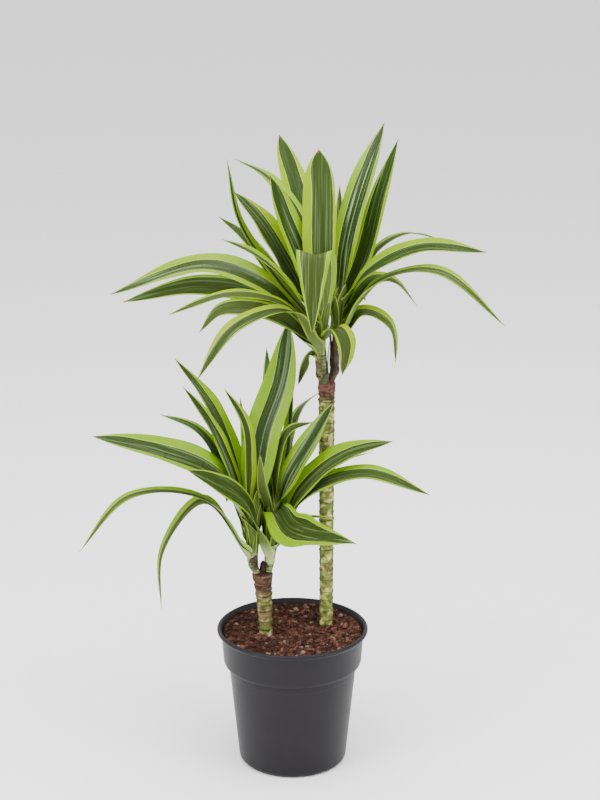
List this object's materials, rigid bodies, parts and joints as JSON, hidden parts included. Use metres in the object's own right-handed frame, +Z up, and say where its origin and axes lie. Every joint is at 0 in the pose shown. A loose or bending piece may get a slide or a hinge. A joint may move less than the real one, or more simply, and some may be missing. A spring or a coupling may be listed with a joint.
{
  "type": "potted corn plant",
  "caption": "Corn plant (dracaena) with bare ringed canes and arching lime-edged strap leaves, standing in a round black nursery pot filled with soil.",
  "frame": {"origin": "centre of the pot's underside, on the surface that the pot stands on", "axes": "+Z up along the pot's axis, +X to the right and +Y away from the viewer of the plant's front"},
  "size_m": [0.5046, 0.4736, 0.7954],
  "materials": {
    "pot_plastic": "dark charcoal moulded plastic with a soft satin sheen",
    "potting_soil": "loose red-brown coir and peat with pale bits",
    "cane_bark": "tan and grey-green bark ringed with leaf scars, darker corky knob",
    "shoot_green": "pale green shoot wrapped in leaf bases, ringed brown where leaves have dropped",
    "leaf_green": "satin leaf, dark green striped centre band between lime-yellow margins"
  },
  "bodies": {
    "root": {"pot": "pot_plastic", "soil": "potting_soil", "short_cane": "cane_bark", "tall_cane": "cane_bark", "lower_left_shoot": "shoot_green", "lower_right_shoot": "shoot_green", "upper_left_shoot": "shoot_green", "upper_right_shoot": "shoot_green", "lower_left_leaf_01": "leaf_green", "lower_left_leaf_02": "leaf_green", "lower_left_leaf_03": "leaf_green", "lower_left_leaf_04": "leaf_green", "lower_left_leaf_05": "leaf_green", "lower_left_leaf_06": "leaf_green", "lower_left_leaf_07": "leaf_green", "lower_left_leaf_08": "leaf_green", "lower_left_leaf_09": "leaf_green", "lower_left_leaf_10": "leaf_green", "lower_right_leaf_01": "leaf_green", "lower_right_leaf_02": "leaf_green", "lower_right_leaf_03": "leaf_green", "lower_right_leaf_04": "leaf_green", "lower_right_leaf_05": "leaf_green", "lower_right_leaf_06": "leaf_green", "lower_right_leaf_07": "leaf_green", "lower_right_leaf_08": "leaf_green", "lower_right_leaf_09": "leaf_green", "lower_right_leaf_10": "leaf_green", "lower_right_leaf_11": "leaf_green", "lower_right_leaf_12": "leaf_green", "lower_right_leaf_13": "leaf_green", "lower_right_leaf_14": "leaf_green", "upper_left_leaf_01": "leaf_green", "upper_left_leaf_02": "leaf_green", "upper_left_leaf_03": "leaf_green", "upper_left_leaf_04": "leaf_green", "upper_left_leaf_05": "leaf_green", "upper_left_leaf_06": "leaf_green", "upper_left_leaf_07": "leaf_green", "upper_left_leaf_08": "leaf_green", "upper_left_leaf_09": "leaf_green", "upper_left_leaf_10": "leaf_green", "upper_left_leaf_11": "leaf_green", "upper_left_leaf_12": "leaf_green", "upper_left_leaf_13": "leaf_green", "upper_left_leaf_14": "leaf_green", "upper_left_leaf_15": "leaf_green", "upper_left_leaf_16": "leaf_green", "upper_left_leaf_17": "leaf_green", "upper_right_leaf_01": "leaf_green", "upper_right_leaf_02": "leaf_green", "upper_right_leaf_03": "leaf_green", "upper_right_leaf_04": "leaf_green", "upper_right_leaf_05": "leaf_green", "upper_right_leaf_06": "leaf_green", "upper_right_leaf_07": "leaf_green", "upper_right_leaf_08": "leaf_green", "upper_right_leaf_09": "leaf_green", "upper_right_leaf_10": "leaf_green"}
  },
  "joints": []
}
